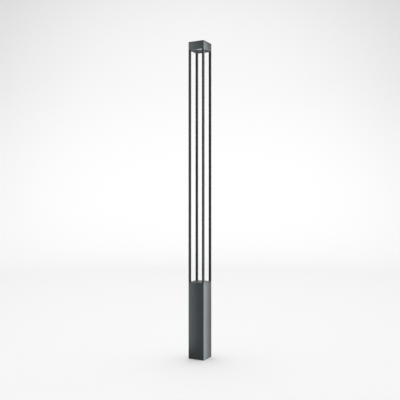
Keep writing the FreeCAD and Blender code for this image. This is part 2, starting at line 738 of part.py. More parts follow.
def driver_tray():
    plate = slab(TRAY_W / 2, TRAY_T / 2, TRAY_BOTTOM, DECK_BOTTOM, (0, TRAY_Y - TRAY_T / 2))
    flange_middle = (0, TRAY_Y + TRAY_FLANGE / 2)
    flange = slab(TRAY_W / 2, TRAY_FLANGE / 2, DECK_BOTTOM - TRAY_T, DECK_BOTTOM, flange_middle)
    tray = plate.fuse(flange).removeSplitter()
    bend = []
    for edge in tray.Edges:
        ends = [v.Point for v in edge.Vertexes]
        if all(abs(p.y - TRAY_Y) < 1e-6 and abs(p.z - (DECK_BOTTOM - TRAY_T)) < 1e-6 for p in ends):
            bend.append(edge)
    tray = tray.makeFillet(TRAY_BEND_R, bend)
    for x, y, z in tray_screw_places():
        tray = tray.cut(rod(TRAY_SCREW_D + 2 * SCREW_CLEAR, z, DECK_BOTTOM, (x, y)))
    for x, y, z in ear_screw_places() + block_screw_places():
        hole = Part.makeCylinder(GEAR_SCREW_D / 2 + THREAD_CLEAR, TRAY_T)
        tray = tray.cut(point_along(hole, (x, TRAY_Y, z), (0, -1, 0)))
    hole = Part.makeCylinder(EARTH_SCREW_D / 2 + THREAD_CLEAR, TRAY_T)
    return tray.cut(point_along(hole, (LUG_X, TRAY_Y, LUG_Z), (0, -1, 0)))


def tray_screws():
    screw = pan_screw(TRAY_SCREW_D, TRAY_SCREW_HEAD_D, TRAY_SCREW_HEAD_H, TRAY_T + TRAY_SCREW_GRIP)
    return Part.makeCompound([point_along(screw, place, (0, 0, -1)) for place in tray_screw_places()])


def led_driver():
    middle = TRAY_Y + DRIVER_DEPTH / 2
    case = slab(DRIVER_W / 2, DRIVER_DEPTH / 2, DRIVER_BOTTOM, DRIVER_TOP, (0, middle))
    case = case.makeFillet(DRIVER_EDGE_R, upright_edges(case))
    ear_middle = (0, TRAY_Y + EAR_T / 2)
    ears = slab(DRIVER_W / 2, EAR_T / 2, DRIVER_BOTTOM - EAR_L, DRIVER_TOP + EAR_L, ear_middle)
    case = case.fuse(ears).removeSplitter()
    for place in ear_screw_places():
        hole = Part.makeCylinder(GEAR_SCREW_D / 2 + SCREW_CLEAR, EAR_T)
        case = case.cut(point_along(hole, place, (0, -1, 0)))
    return case


def driver_screws():
    length = EAR_T + TRAY_T + GEAR_SCREW_SPARE
    screw = pan_screw(GEAR_SCREW_D, GEAR_SCREW_HEAD_D, GEAR_SCREW_HEAD_H, length)
    return Part.makeCompound([point_along(screw, place, (0, 1, 0)) for place in ear_screw_places()])


def clamp_screw_places():
    places = []
    for pole in (-1, 0, 1):
        for z in (BLOCK_BOTTOM + CLAMP_SCREW_DROP, BLOCK_TOP - CLAMP_SCREW_DROP):
            places.append((pole * POLE_PITCH, TRAY_Y + BLOCK_DEPTH, z))
    return places


def terminal_block():
    block = slab(BLOCK_W / 2, BLOCK_DEPTH / 2, BLOCK_BOTTOM, BLOCK_TOP, (0, BLOCK_MID_Y))
    for pole in (-1, 0, 1):
        place = (pole * POLE_PITCH, BLOCK_MID_Y)
        block = block.cut(rod(POLE_HOLE_D, BLOCK_TOP - POLE_HOLE_DEPTH, BLOCK_TOP, place))
        block = block.cut(rod(POLE_HOLE_D, BLOCK_BOTTOM, BLOCK_BOTTOM + POLE_HOLE_DEPTH, place))
    for place in clamp_screw_places():
        hole = Part.makeCylinder(CLAMP_SCREW_D / 2 + THREAD_CLEAR, CLAMP_SCREW_L)
        block = block.cut(point_along(hole, place, (0, -1, 0)))
    for place in block_screw_places():
        hole = Part.makeCylinder(GEAR_SCREW_D / 2 + SCREW_CLEAR, BLOCK_DEPTH)
        block = block.cut(point_along(hole, place, (0, -1, 0)))
        seat = Part.makeCylinder(GEAR_SCREW_HEAD_D / 2 + SCREW_CLEAR, BLOCK_DEPTH / 2)
        block = block.cut(point_along(seat, place, (0, -1, 0)))
    return block


def terminal_fixing_screws():
    length = BLOCK_DEPTH / 2 + TRAY_T + GEAR_SCREW_SPARE
    screw = pan_screw(GEAR_SCREW_D, GEAR_SCREW_HEAD_D, GEAR_SCREW_HEAD_H, length)
    places = [(x, TRAY_Y + BLOCK_DEPTH / 2, z) for x, y, z in block_screw_places()]
    return Part.makeCompound([point_along(screw, place, (0, 1, 0)) for place in places])


def terminal_clamp_screws():
    screw = Part.makeCylinder(CLAMP_SCREW_D / 2, CLAMP_SCREW_L - 2 * THREAD_CLEAR)
    slot = Part.makeBox(CLAMP_SCREW_D, CLAMP_SCREW_D / 5, CLAMP_SCREW_D / 4)
    slot.translate(V(-CLAMP_SCREW_D / 2, -CLAMP_SCREW_D / 10, 0))
    screw = screw.cut(slot)
    return Part.makeCompound([point_along(screw, place, (0, -1, 0)) for place in clamp_screw_places()])


def earth_lug():
    ring = point_along(Part.makeCylinder(LUG_RING_D / 2, LUG_T), (LUG_X, TRAY_Y, LUG_Z), (0, 1, 0))
    low = LUG_BARREL_LOW
    top = LUG_BARREL_LOW + LUG_BARREL_L
    barrel = rod(LUG_BARREL_D, low, top, (LUG_X, LUG_WIRE_Y))
    neck = slab(LUG_BARREL_D / 2, LUG_T / 2, LUG_Z, low + LUG_T, (LUG_X, TRAY_Y + LUG_T / 2))
    lug = ring.multiFuse([neck, barrel])
    lug = lug.cut(rod(WIRE_D + 2 * SOCKET_CLEAR, top - LUG_WIRE_IN, top, (LUG_X, LUG_WIRE_Y)))
    hole = Part.makeCylinder(EARTH_SCREW_D / 2 + SCREW_CLEAR, LUG_T)
    return lug.cut(point_along(hole, (LUG_X, TRAY_Y, LUG_Z), (0, 1, 0))).removeSplitter()


def earth_screw():
    length = LUG_T + TRAY_T + GEAR_SCREW_SPARE
    screw = pan_screw(EARTH_SCREW_D, EARTH_SCREW_HEAD_D, EARTH_SCREW_HEAD_H, length)
    return point_along(screw, (LUG_X, TRAY_Y + LUG_T, LUG_Z), (0, 1, 0))


NODES = {
    "foot_gasket": foot_gasket(),
    "ground_plate": ground_plate(),
    "plate_upstand": plate_upstand(),
    "cable_grommet": cable_grommet(),
    "base_column": base_column(),
    "column_screws": column_screws(),
    "deck_gasket": deck_gasket(),
    "deck": deck(),
    "deck_screws": deck_screws(),
    "post_front_left": lantern_post((-1, -1)),
    "post_front_right": lantern_post((1, -1)),
    "post_rear_right": lantern_post((1, 1)),
    "post_rear_left": lantern_post((-1, 1)),
    "tie_rods": tie_rods(),
    "cap_body": cap_body(),
    "cap_gasket": cap_gasket(),
    "cap_lid": cap_lid(),
    "lid_screws": lid_screws(),
    "thermal_pad": thermal_pad(),
    "led_board": led_board(),
    "led_chips": led_chips(),
    "board_screws": board_screws(),
    "lens": lens(),
    "lens_bezel": lens_bezel(),
    "bezel_gasket": bezel_gasket(),
    "bezel_screws": bezel_screws(),
    "led_cable": led_cable(),
    "cable_connector": cable_connector(),
    "led_lead_positive": led_lead(LEAD_SPACING / 2),
    "led_lead_negative": led_lead(-LEAD_SPACING / 2),
    "driver_tray": driver_tray(),
    "tray_screws": tray_screws(),
    "led_driver": led_driver(),
    "driver_screws": driver_screws(),
    "terminal_block": terminal_block(),
    "terminal_fixing_screws": terminal_fixing_screws(),
    "terminal_clamp_screws": terminal_clamp_screws(),
    "wire_live": supply_wire("wire_live", 1, DRIVER_WIRE_PITCH),
    "wire_neutral": supply_wire("wire_neutral", 0, 0.0),
    "wire_earth": wire_earth(),
    "earth_lug": earth_lug(),
    "earth_screw": earth_screw(),
}

os.makedirs("parts", exist_ok=True)
for node, shape in NODES.items():
    shape.exportStep("parts/" + node + ".step")
print(len(NODES), "nodes")
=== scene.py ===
"""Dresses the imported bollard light: finishes, detailed pieces, soft studio light and a camera."""

import json
import math

import bmesh
import bpy
from bpy.props import FloatProperty, FloatVectorProperty, IntProperty, PointerProperty
from bpy.types import Operator, Panel, PropertyGroup
from mathutils import Matrix, Vector


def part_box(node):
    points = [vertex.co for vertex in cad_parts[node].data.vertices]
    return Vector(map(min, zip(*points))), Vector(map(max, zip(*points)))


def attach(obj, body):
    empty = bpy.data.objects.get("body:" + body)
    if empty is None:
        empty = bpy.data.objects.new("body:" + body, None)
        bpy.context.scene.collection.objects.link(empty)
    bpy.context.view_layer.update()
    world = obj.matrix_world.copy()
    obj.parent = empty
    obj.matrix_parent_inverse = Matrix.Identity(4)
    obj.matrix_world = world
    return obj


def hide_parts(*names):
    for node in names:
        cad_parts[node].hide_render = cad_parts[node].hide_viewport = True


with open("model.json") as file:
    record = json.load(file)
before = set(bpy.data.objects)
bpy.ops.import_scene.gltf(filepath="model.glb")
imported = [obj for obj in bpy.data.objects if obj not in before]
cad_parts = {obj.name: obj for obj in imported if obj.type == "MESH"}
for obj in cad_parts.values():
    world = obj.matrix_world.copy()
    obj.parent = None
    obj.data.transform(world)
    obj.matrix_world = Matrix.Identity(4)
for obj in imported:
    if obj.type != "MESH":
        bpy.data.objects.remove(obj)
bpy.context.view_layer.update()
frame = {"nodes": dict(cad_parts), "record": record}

bl_info = {
    "name": "Bollard Light",
    "version": (1, 0, 0),
    "blender": (4, 5, 0),
    "location": "View3D > Sidebar > Bollard",
    "description": "Square open-lantern bollard light with its finishes, fasteners, LED module and gear",
    "category": "Add Mesh",
}

BODY = "root"
MM = 0.001
WELD = 0.001 * MM
SHARP = math.radians(50)         # edges above this angle are rounded
SMOOTH_BELOW = math.radians(35)  # faces that meet below this angle are shaded as one
UP = Vector((0, 0, 1))


# Colour

def linear(code):
    """A linear RGBA colour from an sRGB hex code, by the standard sRGB curve."""
    parts = [int(code[i:i + 2], 16) / 255 for i in (1, 3, 5)]
    return tuple(p / 12.92 if p <= 0.04045 else ((p + 0.055) / 1.055) ** 2.4 for p in parts) + (1.0,)


def colour_property(name, code, description):
    return FloatVectorProperty(name=name, description=description, subtype="COLOR", size=4,
                               min=0.0, max=1.0, default=linear(code))


def length_property(name, millimetres, description):
    return FloatProperty(name=name, description=description, unit="LENGTH", default=millimetres * MM, min=0.0)


# Settings

class BollardFinishes(PropertyGroup):
    """Colours of the finishes."""
    coat: colour_property("Powder coat", "#2D3032", "Anthracite powder coat on all outer aluminium")
    coat_fleck: colour_property("Powder coat fleck", "#333739", "Lighter grains in the powder coat")
    rubber: colour_property("Rubber", "#17181A", "EPDM gaskets and the cable grommet")
    zinc: colour_property("Galvanised zinc", "#8E9498", "Ground plate and upstand")
    bright_zinc: colour_property("Bright zinc", "#B4B8BC", "Gear tray and its screws")
    stainless: colour_property("Stainless steel", "#A9ABAD", "Outdoor screws and tie rods")
    opal: colour_property("Opal acrylic", "#A3A8AA", "Lens of the LED module")
    mask: colour_property("Solder mask", "#ECEDEB", "White face of the LED board")
    phosphor: colour_property("LED phosphor", "#E8C34A", "Domes of the LED packages")
    pad: colour_property("Thermal pad", "#8C9196", "Silicone pad behind the board")
    case: colour_property("Driver case", "#D9DAD6", "Moulded case of the LED driver")
    polyamide: colour_property("Polyamide", "#E2E0D4", "Terminal block and cable connector")
    cable: colour_property("LED cable", "#1B1C1D", "Jacket of the cable to the LED module")
    positive: colour_property("Positive lead", "#B1201F", "Red lead of the LED board")
    negative: colour_property("Negative lead", "#1A1A1B", "Black lead of the LED board")
    live: colour_property("Live wire", "#6B4226", "Brown wire of the supply")
    neutral: colour_property("Neutral wire", "#2A63A8", "Blue wire of the supply")
    earth: colour_property("Earth wire", "#1E7A3A", "Green of the earth wire")
    earth_stripe: colour_property("Earth stripe", "#E3C92B", "Yellow stripe of the earth wire")
    copper: colour_property("Tinned copper", "#C9C2B8", "Earth lug")


class BollardSizes(PropertyGroup):
    """Sizes of the detail that the design leaves open."""
    coat_grain: length_property("Coat grain", 0.6, "Width of one grain of the textured powder coat")
    led_pitch: length_property("LED pitch", 8, "Distance between LED packages, as on the board")
    dome_radius: length_property("Dome radius", 1, "Radius of an LED's phosphor dome")
    lens_rim: length_property("Lens rim", 2.3, "Rim of the lens that the bezel holds")
    lens_rise: length_property("Lens rise", 1.1, "How far the lens stands into the bezel's window")
    grommet_lip: length_property("Grommet lip", 1.2, "Thickness of each lip of the cable grommet")
    pole_pitch: length_property("Pole pitch", 7, "Distance between the terminal block's poles")
    screw_sides: IntProperty(name="Screw sides", description="Sides of a turned screw, a multiple of six",
                             default=24, min=12, max=96)


class BollardStage(PropertyGroup):
    """Camera, floor and lights."""
    azimuth: FloatProperty(name="Camera azimuth", description="Turn of the camera to the right of the front",
                           subtype="ANGLE", default=math.radians(27.3))
    distance: FloatProperty(name="Camera distance", description="From the object's axis",
                            unit="LENGTH", default=2.267)
    height: FloatProperty(name="Camera height", description="Above the ground, level",
                          unit="LENGTH", default=0.601)
    focal: FloatProperty(name="Focal length", description="In millimetres on a 36 mm sensor",
                         unit="CAMERA", default=53.49)
    floor: colour_property("Floor", "#F6F6F6", "Pale floor and backdrop")
    beam: FloatProperty(name="Backdrop beam", description="Soft pool of light behind the object",
                        unit="POWER", default=4700)
    wash: FloatProperty(name="Backdrop wash", description="Even light on the backdrop, in watts a square metre",
                        default=1.25)
    floor_sky: FloatProperty(name="Floor sky", default=0.82,
                             description="Soft light from above that grounds the foot, in watts a square metre")
    sky_behind: FloatProperty(name="Sky behind", description="Light from behind the object", default=1.1)
    sky_in_front: FloatProperty(name="Sky in front", description="Light from the camera's side", default=0.06)


# Node helpers

def add_node(tree, kind, settings=None, links=None):
    """Add a node. Settings are properties or input values; links are input names to output sockets."""
    node = tree.nodes.new(kind)
    for key, value in (settings or {}).items():
        if isinstance(key, int) or key in node.inputs:
            node.inputs[key].default_value = value
        else:
            setattr(node, key, value)
    for key, source in (links or {}).items():
        tree.links.new(source, node.inputs[key])
    return node


def new_finish(name, **values):
    """A material with a shader whose even values are set on its own sockets."""
    finish = bpy.data.materials.new(name)
    finish.use_nodes = True
    tree = finish.node_tree
    shader = tree.nodes["Principled BSDF"]
    for key, value in values.items():
        shader.inputs[key.replace("_", " ")].default_value = value
    return finish, tree, shader


def grain(tree, size, detail=2.0, stretch=(1, 1, 1)):
    """Noise on object coordinates with one cell per size, in metres."""
    coords = add_node(tree, "ShaderNodeTexCoord")
    mapping = add_node(tree, "ShaderNodeMapping", {"Scale": stretch}, {"Vector": coords.outputs["Object"]})
    return add_node(tree, "ShaderNodeTexNoise", {"Scale": 1 / size, "Detail": detail},
                    {"Vector": mapping.outputs["Vector"]})


def bump(tree, shader, height, depth):
    """Raise a surface by a pattern, in metres from its lowest to its highest value."""
    relief = add_node(tree, "ShaderNodeBump", {"Strength": 1.0, "Distance": depth}, {"Height": height})
    tree.links.new(relief.outputs["Normal"], shader.inputs["Normal"])


def mix_colours(tree, factor, first, second):
    """Blend two colours. The colour sockets of a Mix node share their names, so they go by number."""
    blend = add_node(tree, "ShaderNodeMix", {"data_type": "RGBA"}, {"Factor": factor})
    blend.inputs[6].default_value = first
    blend.inputs[7].default_value = second
    return blend.outputs[2]


def spread(tree, value, low, high, to_low=0.0, to_high=1.0):
    """Stretch a value range to another."""
    node = add_node(tree, "ShaderNodeMapRange", {"From Min": low, "From Max": high,
                                                 "To Min": to_low, "To Max": to_high}, {"Value": value})
    return node.outputs["Result"]


# Mesh helpers

def solid_boxes(node):
    """Low and high corners of each separate solid of a node in the design."""
    mesh = bmesh.new()
    mesh.from_mesh(frame["nodes"][node].data)
    bmesh.ops.remove_doubles(mesh, verts=mesh.verts, dist=WELD)
    mesh.verts.index_update()
    seen = set()
    boxes = []
    for first in mesh.verts:
        if first.index in seen:
            continue
        seen.add(first.index)
        waiting = [first]
        low = first.co.copy()
        high = first.co.copy()
        while waiting:
            point = waiting.pop()
            low = Vector(map(min, low, point.co))
            high = Vector(map(max, high, point.co))
            for edge in point.link_edges:
                other = edge.other_vert(point)
                if other.index not in seen:
                    seen.add(other.index)
                    waiting.append(other)
        boxes.append((low, high))
    mesh.free()
    return sorted(boxes, key=lambda box: [round(value, 5) for value in box[0]])


def block(mesh, low, high):
    """A box between two corners. Returns its vertices."""
    low, high = Vector(low), Vector(high)
    shape = Matrix.Translation((low + high) / 2) @ Matrix.Diagonal((*(high - low), 1))
    return bmesh.ops.create_cube(mesh, size=1, matrix=shape)["verts"]


def soften(mesh, verts, width, segments=2):
    """Round every sharp edge between these vertices."""
    chosen = set(verts)
    edges = [edge for edge in mesh.edges
             if set(edge.verts) <= chosen and edge.is_manifold and edge.calc_face_angle() > SHARP]
    bmesh.ops.bevel(mesh, geom=edges, offset=width, affect="EDGES", segments=segments, profile=0.5,
                    material=-1, clamp_overlap=True)


def soft_block(mesh, low, high, width):
    """A box between two corners with its edges rounded by a width."""
    soften(mesh, block(mesh, low, high), width)


def lowest_face(verts):
    """The face of a block that looks down."""
    return min({face for point in verts for face in point.link_faces}, key=lambda f: f.calc_center_median().z)


def push_face(mesh, face, margin, depth):
    """Inset a level face and move its middle along Z, up for a cup and down for a step."""
    bmesh.ops.inset_region(mesh, faces=[face], thickness=margin)
    moved = bmesh.ops.extrude_face_region(mesh, geom=[face])["geom"]
    bmesh.ops.delete(mesh, geom=[face], context="FACES_ONLY")
    points = [item for item in moved if isinstance(item, bmesh.types.BMVert)]
    bmesh.ops.translate(mesh, verts=points, vec=(0, 0, depth))


def turn(mesh, outline, sides, closed=False):
    """Spin an outline of (radius, height) points about Z."""
    before = set(mesh.verts)
    points = [mesh.verts.new((radius, 0, height)) for radius, height in outline]
    follow = points[1:] + points[:1] if closed else points[1:]
    edges = [mesh.edges.new(pair) for pair in zip(points, follow)]
    bmesh.ops.spin(mesh, geom=points + edges, cent=(0, 0, 0), axis=UP, angle=2 * math.pi, steps=sides,
                   use_merge=True)
    made = [point for point in mesh.verts if point not in before]
    bmesh.ops.remove_doubles(mesh, verts=made, dist=WELD)
    return [point for point in mesh.verts if point not in before]


def move_to(mesh, verts, place, axis=(0, 0, 1)):
    """Turn vertices from +Z to an axis and move them to a place."""
    turning = UP.rotation_difference(Vector(axis)).to_matrix().to_4x4()
    bmesh.ops.transform(mesh, matrix=Matrix.Translation(place) @ turning, verts=verts)


def finish_piece(name, mesh, slot, *replaced):
    """Turn a mesh into a piece that rides on the body, with the finish of its slot."""
    bmesh.ops.recalc_face_normals(mesh, faces=mesh.faces)
    shape = bpy.data.meshes.new(name)
    mesh.to_mesh(shape)
    mesh.free()
    shape.shade_smooth()
    shape.set_sharp_from_angle(angle=SMOOTH_BELOW)
    shape.materials.append(finish_of(slot))
    piece = bpy.data.objects.new(name, shape)
    bpy.context.scene.collection.objects.link(piece)
    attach(piece, BODY)
    if replaced:
        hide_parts(*replaced)
    return piece


def sizes():
    return bpy.context.scene.bollard_sizes


def finishes():
    return bpy.context.scene.bollard_finishes


# Finishes

def powder_coat():
    """Polyester powder coat, sprayed on aluminium and baked.

    It gives the eye a dull anthracite skin with a faint even grain, and a sheen that drifts where
    the film is thicker. A real grain is 0.1 to 0.2 mm, and it is drawn coarser so that it shows.
    """
    drift = 60 * MM
    relief = 0.035 * MM
    finish, tree, shader = new_finish("anthracite_powder_coat", Roughness=0.5, Specular_IOR_Level=0.5)
    fine = grain(tree, sizes().coat_grain, detail=3.0)
    fleck = spread(tree, fine.outputs["Fac"], 0.35, 0.75)
    colour = mix_colours(tree, fleck, finishes().coat, finishes().coat_fleck)
    tree.links.new(colour, shader.inputs["Base Color"])
    cloud = grain(tree, drift, detail=1.0)
    tree.links.new(spread(tree, cloud.outputs["Fac"], 0.3, 0.7, 0.46, 0.54), shader.inputs["Roughness"])
    bump(tree, shader, fine.outputs["Fac"], relief)
    return finish


def epdm():
    """Moulded EPDM rubber.

    It gives the eye a soft near-black with dusty patches of bloom, some 4 mm across. The mould's
    own grain is under 0.1 mm, and it is drawn at 0.4 mm so that it shows.
    """
    bloom_patch = 4 * MM
    mould_grain = 0.4 * MM
    finish, tree, shader = new_finish("black_epdm", Roughness=0.7)
    bloom = grain(tree, bloom_patch)
    dusty = spread(tree, bloom.outputs["Fac"], 0.4, 0.7)
    colour = mix_colours(tree, dusty, finishes().rubber, linear("#26282A"))
    tree.links.new(colour, shader.inputs["Base Color"])
    fine = grain(tree, mould_grain)
    bump(tree, shader, fine.outputs["Fac"], 0.03 * MM)
    return finish


def hot_dip_zinc():
    """Hot-dip galvanised steel.

    It gives the eye a patchwork of lighter and darker zinc crystals, the spangle, which is some
    6 mm across and duller in some crystals than in others.
    """
    spangle_width = 6 * MM
    finish, tree, shader = new_finish("hot_dip_zinc", Metallic=1.0, Roughness=0.5)
    coords = add_node(tree, "ShaderNodeTexCoord")
    spangle = add_node(tree, "ShaderNodeTexVoronoi", {"Scale": 1 / spangle_width},
                       {"Vector": coords.outputs["Object"]})
    tone = add_node(tree, "ShaderNodeSeparateColor", links={"Color": spangle.outputs["Color"]})
    colour = mix_colours(tree, tone.outputs["Red"], finishes().zinc, linear("#A4AAAE"))
    tree.links.new(colour, shader.inputs["Base Color"])
    tree.links.new(spread(tree, tone.outputs["Green"], 0, 1, 0.42, 0.6), shader.inputs["Roughness"])
    return finish


def drawn_metal(name, colour, brightest):
    """Rolled, drawn or turned metal.

    It gives the eye an even metal with fine bright lines that run up the part. Real lines are
    under 0.1 mm apart, and they are drawn 0.5 mm apart so that they show.
    """
    line_gap = 0.5 * MM
    along_z = (1, 1, 0.05)
    finish, tree, shader = new_finish(name, Metallic=1.0, Roughness=0.35)
    lines = grain(tree, line_gap, detail=2.0, stretch=along_z)
    tone = mix_colours(tree, spread(tree, lines.outputs["Fac"], 0.35, 0.65), colour, brightest)
    tree.links.new(tone, shader.inputs["Base Color"])
    tree.links.new(spread(tree, lines.outputs["Fac"], 0.3, 0.7, 0.3, 0.42), shader.inputs["Roughness"])
    bump(tree, shader, lines.outputs["Fac"], 0.01 * MM)
    return finish


def opal_acrylic():
    """Opal cast acrylic with a satin face.

    It gives the eye a milky, slightly cloudy panel that hides the LEDs behind it. The clouds are
    some 5 mm across.
    """
    cloud = 5 * MM
    finish, tree, shader = new_finish("opal_acrylic", Roughness=0.35, IOR=1.49)
    haze = grain(tree, cloud, detail=1.0)
    colour = mix_colours(tree, haze.outputs["Fac"], finishes().opal, linear("#9A9FA1"))
    tree.links.new(colour, shader.inputs["Base Color"])
    return finish


def moulded(name, colour, shade, roughness, texture=0.5):
    """Injection-moulded or cast plastic.

    It gives the eye a dry, finely stippled skin, as a spark-eroded mould leaves it. The texture is
    a stipple's width in millimetres. Real ones are 0.05 to 0.1 mm, drawn coarser so that they show.
    """
    finish, tree, shader = new_finish(name, Roughness=roughness)
    fine = grain(tree, texture * MM, detail=2.0)
    tone = mix_colours(tree, spread(tree, fine.outputs["Fac"], 0.3, 0.7), colour, shade)
    tree.links.new(tone, shader.inputs["Base Color"])
    bump(tree, shader, fine.outputs["Fac"], 0.02 * MM)
    return finish


def striped_wire():
    """Extruded PVC insulation of an earth wire.

    It gives the eye a smooth green with slanting yellow stripes, one every 6.3 mm. A wave texture
    repeats every 2 pi / 10 of a unit at a scale of 1.
    """
    stripe_gap = 2 * math.pi * MM
    finish, tree, shader = new_finish("earth_wire_pvc", Roughness=0.4)
    coords = add_node(tree, "ShaderNodeTexCoord")
    stripe = add_node(tree, "ShaderNodeTexWave",
                      {"wave_type": "BANDS", "bands_direction": "DIAGONAL",
                       "Scale": 2 * math.pi / 10 / stripe_gap, "Distortion": 0.5},
                      {"Vector": coords.outputs["Object"]})
    yellow = spread(tree, stripe.outputs["Fac"], 0.55, 0.6)
    colour = mix_colours(tree, yellow, finishes().earth, finishes().earth_stripe)
    tree.links.new(colour, shader.inputs["Base Color"])
    return finish


def makers():
    """Each material slot of the record, with what makes its finish."""
    f = finishes()
    return {
        "powder_coat": powder_coat,
        "black_epdm": epdm,
        "galvanised_steel": hot_dip_zinc,
        # Stainless bar, turned: a warm, fairly bright grey
        "stainless_steel": lambda: drawn_metal("turned_stainless_steel", f.stainless, linear("#C6C8CA")),
        # Bright zinc-plated sheet, rolled: lighter and bluer than the stainless
        "zinc_plated_steel": lambda: drawn_metal("bright_zinc_steel", f.bright_zinc, linear("#CDD0D2")),
        "opal_acrylic": opal_acrylic,
        # Solder mask, printed and cured: white with a slight orange peel 1 mm across
        "board_white": lambda: moulded("white_solder_mask", f.mask, linear("#E2E4E2"), 0.4, 1.0),
        # Phosphor in cast silicone: warm yellow and smooth
        "led_phosphor": lambda: moulded("cast_led_phosphor", f.phosphor, linear("#EED06A"), 0.3),
        # Filled silicone sheet, calendered: chalky mid grey
        "thermal_silicone": lambda: moulded("calendered_silicone", f.pad, linear("#7C8186"), 0.8),
        # ABS, moulded: light grey with a fairly open stipple
        "driver_case": lambda: moulded("moulded_abs", f.case, linear("#CFD0CC"), 0.5, 0.8),
        # Polyamide, moulded and not dyed: cream, a little waxy
        "polyamide": lambda: moulded("moulded_polyamide", f.polyamide, linear("#D6D3C5"), 0.45),
        # PVC, extruded: matt on the jacket and smoother on the thin wires
        "cable_jacket": lambda: moulded("extruded_cable_pvc", f.cable, linear("#242526"), 0.55),
        "red_insulation": lambda: moulded("extruded_red_pvc", f.positive, linear("#A01B1B"), 0.4),
        "black_insulation": lambda: moulded("extruded_black_pvc", f.negative, linear("#222223"), 0.4),
        "brown_insulation": lambda: moulded("extruded_brown_pvc", f.live, linear("#5F3A21"), 0.4),
        "blue_insulation": lambda: moulded("extruded_blue_pvc", f.neutral, linear("#245896"), 0.4),
        "green_insulation": striped_wire,
        # Tinned copper sheet, pressed: pale and slightly warm
        "tinned_copper": lambda: drawn_metal("pressed_tinned_copper", f.copper, linear("#DAD5CD")),
    }


MADE = {}


def finish_of(slot):
    """The finish of a material slot, made the first time that it is asked for."""
    if slot not in MADE:
        MADE[slot] = makers()[slot]()
    return MADE[slot]


class BOLLARD_OT_dress_design(Operator):
    """Give every part of the design its finish"""
    bl_idname = "bollard.dress_design"
    bl_label = "Dress the Design"

    def execute(self, context):
        for part in frame["record"]["subparts"]:
            node = frame["nodes"][part["node"]]
            if not node.material_slots:
                raise RuntimeError("no material slot on " + part["node"])
            for place in node.material_slots:
                place.material = finish_of(part["material_slot"])
        return {"FINISHED"}


# Screws

PITCHES = {2.0: 0.4, 3.0: 0.5, 4.0: 0.7, 5.0: 0.8}  # by thread, in millimetres
THREAD_DEPTH = 0.5       # of the pitch
CREST = 0.35, 0.65       # of the pitch, where a crest starts and ends
SOCKET_EDGE = 0.72       # of the thread's radius, where the flat of the head starts
SOCKET_ACROSS = 0.55     # of the thread, across the flats
SOCKET_DEPTH = 0.7       # of the head's height
LEAST_HEAD = 0.3         # of the thread, for the socket of a screw that has hardly any head
POINT = 0.7              # of the thread's radius, at the tip
RUN_OUT = 0.6            # of the pitch, from the last crest to the tip
HEAD_EDGE = 0.1 * MM
GRUB_EDGE = 0.3 * MM
NECK = 0.1 * MM          # plain length between the head and a full thread
LEAD_IN = 0.05 * MM
# A pan head's outline: shares of its radius, and of its height below the top
PAN_HEAD = ((0.66, 0), (0.86, 0.12), (0.97, 0.34), (1, 0.6), (1, 0.95), (0.96, 1))
REAR, DOWN = (0, 1, 0), (0, 0, -1)


def thread_points(radius, start, end, pitch):
    """Crests and roots of a thread drawn as rings, from start down to end."""
    turns = max(1, int((start - end) / pitch))
    step = (start - end) / turns
    root = radius - THREAD_DEPTH * pitch
    points = []
    for turn_number in range(turns):
        top = start - turn_number * step
        points.append((root, top))
        points += [(radius, top - share * step) for share in CREST]
    return points + [(root, end)]


def screw_outline(kind, thread, head, length, pitch, head_height, threaded):
    """Half outline of a screw, from the edge of its socket at z = 0 down to its tip."""
    radius, wide = thread / 2, head / 2
    shank = radius
    points = [(SOCKET_EDGE * radius, 0)]
    if kind == "countersunk":
        points += [(wide - HEAD_EDGE, 0), (wide, -HEAD_EDGE), (wide, -head_height)]
        neck = -head_height - (wide - radius)
    elif kind == "pan":
        points += [(share * wide, -drop * head_height) for share, drop in PAN_HEAD]
        neck = -head_height
    else:
        points.append((radius - GRUB_EDGE, 0))
        neck = -GRUB_EDGE
        shank = radius - THREAD_DEPTH * pitch
    points.append((shank, neck))
    tip = -length + RUN_OUT * pitch
    start = max(-length + threaded, tip) if threaded < length + neck else neck - NECK
    if start < neck - 2 * NECK:
        points.append((radius, start))
    points += thread_points(radius, start - LEAD_IN, tip, pitch)
    return points + [(POINT * radius, -length), (0, -length)]


def one_screw(kind, thread, head, length, pitch, head_height, threaded):
    """A screw along Z with the top of its head at z = 0 and a hexagon socket."""
    mesh = bmesh.new()
    turn(mesh, screw_outline(kind, thread, head, length, pitch, head_height, threaded), sizes().screw_sides)
    rim = [edge for edge in mesh.edges if edge.is_boundary]
    corner_radius = SOCKET_ACROSS * thread / math.sqrt(3)
    corners = bmesh.ops.create_circle(mesh, segments=6, radius=corner_radius)["verts"]
    hexagon = list({edge for corner in corners for edge in corner.link_edges})
    bmesh.ops.bridge_loops(mesh, edges=rim + hexagon)
    sunk = bmesh.ops.extrude_edge_only(mesh, edges=hexagon)["geom"]
    bottom = [item for item in sunk if isinstance(item, bmesh.types.BMVert)]
    depth = SOCKET_DEPTH * max(head_height, LEAST_HEAD * thread)
    bmesh.ops.translate(mesh, verts=bottom, vec=(0, 0, -depth))
    bmesh.ops.edgeloop_fill(mesh, edges=[item for item in sunk if isinstance(item, bmesh.types.BMEdge)])
    shape = bpy.data.meshes.new("screw_pattern")
    mesh.to_mesh(shape)
    mesh.free()
    return shape


